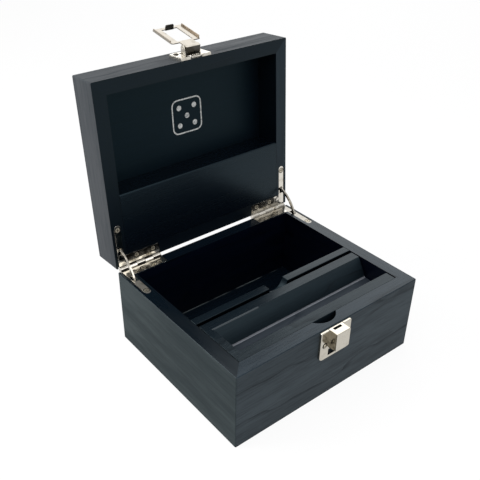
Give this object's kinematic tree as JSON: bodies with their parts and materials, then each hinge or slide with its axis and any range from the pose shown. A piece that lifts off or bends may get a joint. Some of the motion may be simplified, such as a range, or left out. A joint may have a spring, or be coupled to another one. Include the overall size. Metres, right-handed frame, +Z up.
{
  "type": "dice rolling box",
  "caption": "Lidded wooden box on stop hinges with curved stays, a lift-out rolling trough, a divided store behind it and a flip-over hasp latch.",
  "frame": {"origin": "centre of the underside of the base, on the surface the box stands on", "axes": "+Z up, +X to the right seen from the front, the catch faces -Y, the lid hangs at +Y; the box stands with its lid open"},
  "size_m": [0.18, 0.2111, 0.2343],
  "materials": {
    "case_wood": "black stain, satin, open grain",
    "inner_wood": "black stain, satin",
    "tray_wood": "black stain, satin, open grain",
    "hinge_plate": "polished nickel plate",
    "pin_steel": "drawn",
    "screw_steel": "nickel plate",
    "latch_plate": "polished nickel plate"
  },
  "bodies": {
    "base": {"base_front_wall": "case_wood", "base_rear_wall": "case_wood", "base_left_wall": "case_wood", "base_right_wall": "case_wood", "base_bottom_panel": "inner_wood", "compartment_divider": "inner_wood", "tray_rail_left": "inner_wood", "tray_rail_right": "inner_wood", "left_hinge_base_leaf": "hinge_plate", "right_hinge_base_leaf": "hinge_plate", "left_hinge_pin": "pin_steel", "right_hinge_pin": "pin_steel", "base_hinge_screws": "screw_steel", "catch_plate": "latch_plate", "catch_screws": "screw_steel"},
    "lid": {"lid_front_wall": "case_wood", "lid_rear_wall": "case_wood", "lid_left_wall": "case_wood", "lid_right_wall": "case_wood", "lid_top_panel": "case_wood", "lid_inner_panel": "inner_wood", "lid_recess_rail": "inner_wood", "left_hinge_lid_leaf": "hinge_plate", "right_hinge_lid_leaf": "hinge_plate", "lid_hinge_screws": "screw_steel", "hasp_bracket": "latch_plate", "bracket_screws": "screw_steel", "hasp_pin": "pin_steel"},
    "left_stay": {"left_lid_stay": "hinge_plate"},
    "right_stay": {"right_lid_stay": "hinge_plate"},
    "hasp": {"hasp_frame": "latch_plate"},
    "tray": {"rolling_tray": "tray_wood"}
  },
  "joints": [
    {"name": "lid_hinge", "type": "hinge", "parent": "base", "child": "lid", "pos_m": [0, 0.0765, 0.06565], "axis": [1, 0, 0], "range_deg": [0, 94]},
    {"name": "left_stay_swing", "type": "hinge", "parent": "base", "child": "left_stay", "pos_m": [0, 0.0765, 0.06565], "axis": [1, 0, 0], "range_deg": [0, 47]},
    {"name": "right_stay_swing", "type": "hinge", "parent": "base", "child": "right_stay", "pos_m": [0, 0.0765, 0.06565], "axis": [1, 0, 0], "range_deg": [0, 47]},
    {"name": "hasp_hinge", "type": "hinge", "parent": "lid", "child": "hasp", "pos_m": [0, 0.09538, 0.22312], "axis": [1, 0, 0], "range_deg": [0, 166]},
    {"name": "tray_lift", "type": "slide", "parent": "base", "child": "tray", "axis": [0, 0, 1], "range_m": [0, 0.0205]}
  ],
  "couplings": [
    {"joint": "left_stay_swing", "follows": "lid_hinge", "ratio": 0.5},
    {"joint": "right_stay_swing", "follows": "lid_hinge", "ratio": 0.5}
  ]
}
